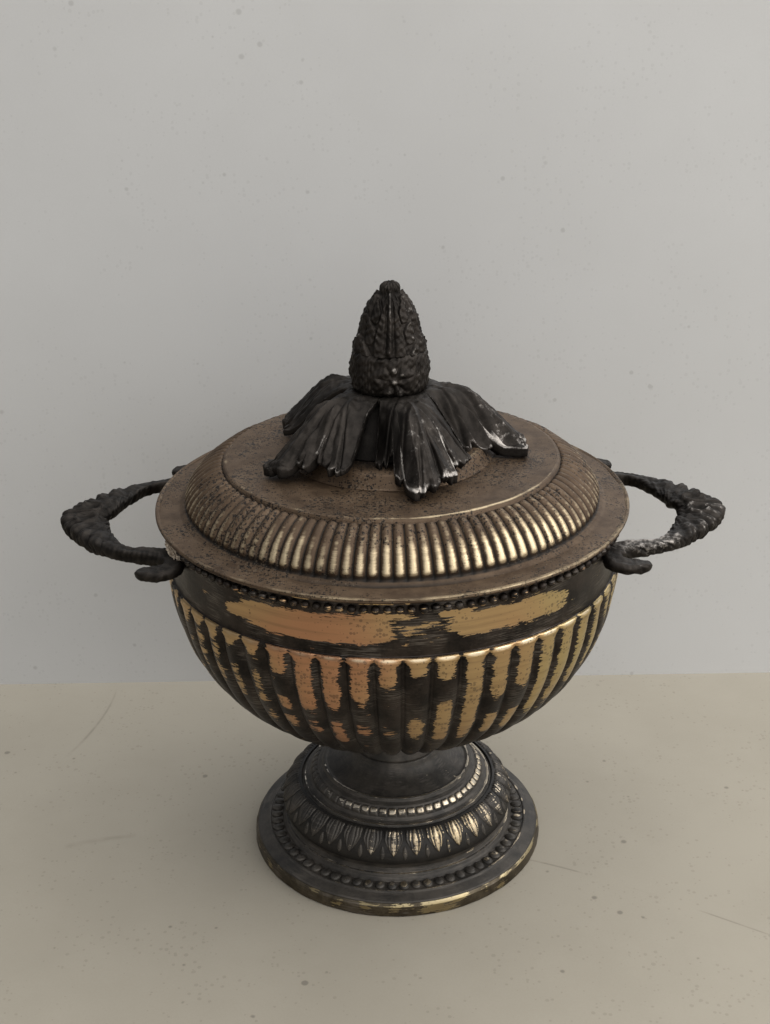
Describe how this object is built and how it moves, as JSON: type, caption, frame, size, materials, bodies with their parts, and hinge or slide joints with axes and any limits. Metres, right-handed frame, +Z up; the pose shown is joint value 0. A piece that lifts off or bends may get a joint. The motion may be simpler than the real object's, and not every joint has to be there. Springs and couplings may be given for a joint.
{
  "type": "covered urn",
  "caption": "Covered brass urn or ciborium: gadrooned bowl on a trumpet foot, two looped handles, and a reeded lid with a leaf rosette and bud finial that lifts off.",
  "frame": {"origin": "on the vessel's axis, on the surface that the foot stands on", "axes": "+Z up along the vessel's axis, +X through the right-hand handle, +Y away from a person who faces the vessel"},
  "size_m": [0.313, 0.22, 0.288],
  "materials": {
    "foot_brass": "worn satin brass with dark patina at its lower edge",
    "foot_patina": "black-brown patina with thin bright worn edges",
    "bowl_patina": "black-brown patina worn through to tan and orange brass on band and gadroon crests",
    "lid_bronze": "dusty taupe bronze patina with dark speckles and pale gold wear on the reeds",
    "cast_bronze": "dark grey-brown cast bronze with faint worn edges",
    "plain_brass": "unpolished brass",
    "steel": "plain turned steel"
  },
  "bodies": {
    "urn": {"foot_rim_band": "foot_brass", "foot_shell": "foot_patina", "foot_bead_ring": "foot_patina", "foot_leaf_band": "foot_patina", "foot_tongue_ring": "foot_patina", "foot_clamp_plate": "steel", "stem_collar": "foot_patina", "bowl_shell": "bowl_patina", "bowl_bead_ring": "bowl_patina", "bowl_rim_ring": "bowl_patina", "handle_right": "cast_bronze", "handle_left": "cast_bronze", "handle_screws": "steel", "handle_washers": "plain_brass", "tie_rod": "steel", "tie_rod_lower_nut": "steel", "bowl_floor_washer": "plain_brass", "tie_rod_upper_nut": "steel"},
    "lid": {"lid_shell": "lid_bronze", "lid_rim_wire": "lid_bronze", "lid_locating_ring": "plain_brass", "lid_boss": "lid_bronze", "leaf_rosette": "cast_bronze", "finial_cup": "cast_bronze", "finial_bud": "cast_bronze", "finial_stud": "steel", "finial_washer": "plain_brass", "finial_nut": "steel"}
  },
  "joints": [
    {"name": "lid_lift", "type": "slide", "parent": "urn", "child": "lid", "axis": [0, 0, 1], "range_m": [0, 0.16]}
  ]
}
